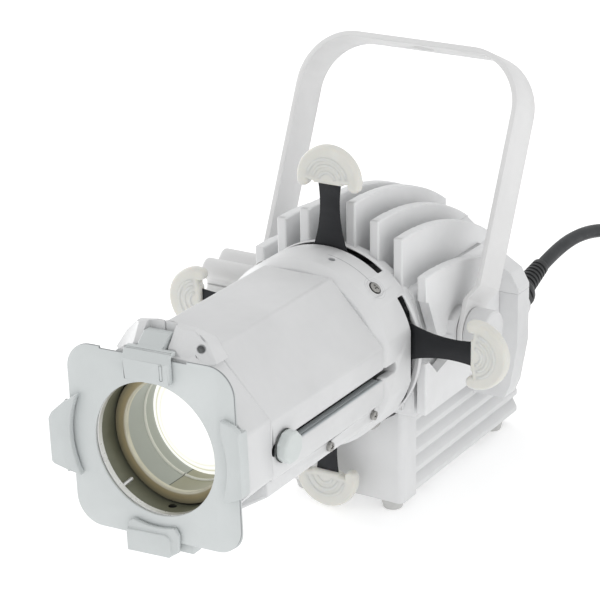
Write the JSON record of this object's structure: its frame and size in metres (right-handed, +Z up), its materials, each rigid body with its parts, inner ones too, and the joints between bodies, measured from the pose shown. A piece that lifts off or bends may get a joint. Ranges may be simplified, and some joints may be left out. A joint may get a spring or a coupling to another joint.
{
  "type": "ellipsoidal spotlight",
  "caption": "Small white LED profile spotlight with stirrup yoke, four framing shutters, sliding focus lens, sprung colour-frame clip, finned heat sink and a mains cord.",
  "frame": {"origin": "on the floor under the middle of the lamp's bounding box, cord left out", "axes": "+Z up, +Y along the optical axis from the lens towards the rear cover, +X towards the focus knob's side"},
  "size_m": [0.2668, 0.4341, 0.2139],
  "materials": {
    "housing": "die cast, satin white powder coat",
    "yoke": "satin powder coat",
    "frame_plate": "satin powder coat",
    "black_sheet": "matt heat-proof black",
    "grip": "moulded silicone",
    "steel": "zinc plated",
    "tube_liner": "semi-matt",
    "carriage": "moulded",
    "bronze_ring": "satin",
    "glass": "polished",
    "knob": "moulded",
    "rubber": "moulded",
    "black_plastic": "moulded",
    "cable": "extruded sheath",
    "circuit_board": "laminate",
    "windings": "taped",
    "can": "sleeved",
    "led": "phosphor",
    "reflector": "polished",
    "pin_metal": "plated"
  },
  "bodies": {
    "head": {"barrel_lower": "housing", "barrel_screws": "steel", "barrel_upper": "housing", "box_screws": "steel", "cable_coil": "cable", "cable_gland": "black_plastic", "cable_tail": "cable", "clip_pin": "steel", "collar": "housing", "collar_screws": "steel", "colour_frame": "frame_plate", "cover_screws": "steel", "driver_board": "circuit_board", "driver_box": "housing", "driver_box_cover": "housing", "driver_capacitors": "can", "driver_transformer": "windings", "frame_holder": "housing", "friction_washers": "black_plastic", "gate_plate": "black_sheet", "heat_sink": "housing", "led_board": "circuit_board", "led_emitter": "led", "lens_tube": "tube_liner", "mains_cable": "cable", "nose_ring": "housing", "plug_body": "cable", "plug_pins": "pin_metal", "rear_cover_lower": "housing", "rear_cover_upper": "housing", "reflector": "reflector", "rubber_feet": "rubber", "shutter_guide": "black_sheet", "strain_relief": "cable", "tilt_bolt_left": "steel", "tilt_bolt_right": "steel", "tilt_cap": "knob", "trim_ring": "steel"},
    "yoke": {"yoke": "yoke"},
    "tilt_knob": {"tilt_knob": "knob"},
    "focus_carriage": {"lens_carriage": "carriage", "lens_ring": "bronze_ring", "lens": "glass", "focus_stem": "steel"},
    "focus_knob": {"focus_knob": "knob"},
    "frame_clip": {"frame_clip": "housing"},
    "shutter_top": {"shutter_blade_top": "black_sheet", "shutter_grip_top": "grip"},
    "shutter_right": {"shutter_blade_right": "black_sheet", "shutter_grip_right": "grip"},
    "shutter_bottom": {"shutter_blade_bottom": "black_sheet", "shutter_grip_bottom": "grip"},
    "shutter_left": {"shutter_blade_left": "black_sheet", "shutter_grip_left": "grip"}
  },
  "joints": [
    {"name": "yoke_tilt", "type": "hinge", "parent": "head", "child": "yoke", "pos_m": [-0.0015, 0.0463, 0.0905], "axis": [1, 0, 0], "range_deg": [-55, 58]},
    {"name": "tilt_knob_turn", "type": "hinge", "parent": "head", "child": "tilt_knob", "pos_m": [-0.0715, 0.0463, 0.0905], "axis": [1, 0, 0], "continuous": true},
    {"name": "shutter_top_slide", "type": "slide", "parent": "head", "child": "shutter_top", "axis": [0, 0, 1], "range_m": [-0.022, 0.0015]},
    {"name": "shutter_right_slide", "type": "slide", "parent": "head", "child": "shutter_right", "axis": [1, 0, 0], "range_m": [-0.022, 0.001]},
    {"name": "shutter_bottom_slide", "type": "slide", "parent": "head", "child": "shutter_bottom", "axis": [0, 0, -1], "range_m": [-0.0175, 0.0015]},
    {"name": "shutter_left_slide", "type": "slide", "parent": "head", "child": "shutter_left", "axis": [-1, 0, 0], "range_m": [-0.021, 0.0015]},
    {"name": "focus_slide", "type": "slide", "parent": "head", "child": "focus_carriage", "axis": [0, 1, 0], "range_m": [-0.005, 0.085]},
    {"name": "focus_knob_turn", "type": "hinge", "parent": "focus_carriage", "child": "focus_knob", "pos_m": [0.0465, -0.108, 0.0895], "axis": [1, 0, 0], "continuous": true},
    {"name": "frame_clip_hinge", "type": "hinge", "parent": "head", "child": "frame_clip", "pos_m": [-0.00308, -0.1277, 0.13697], "axis": [0.9995, 0, 0.0332], "range_deg": [-60, 0], "stiffness_Nm_per_rad": 0.02, "springref_deg": 20.05}
  ]
}
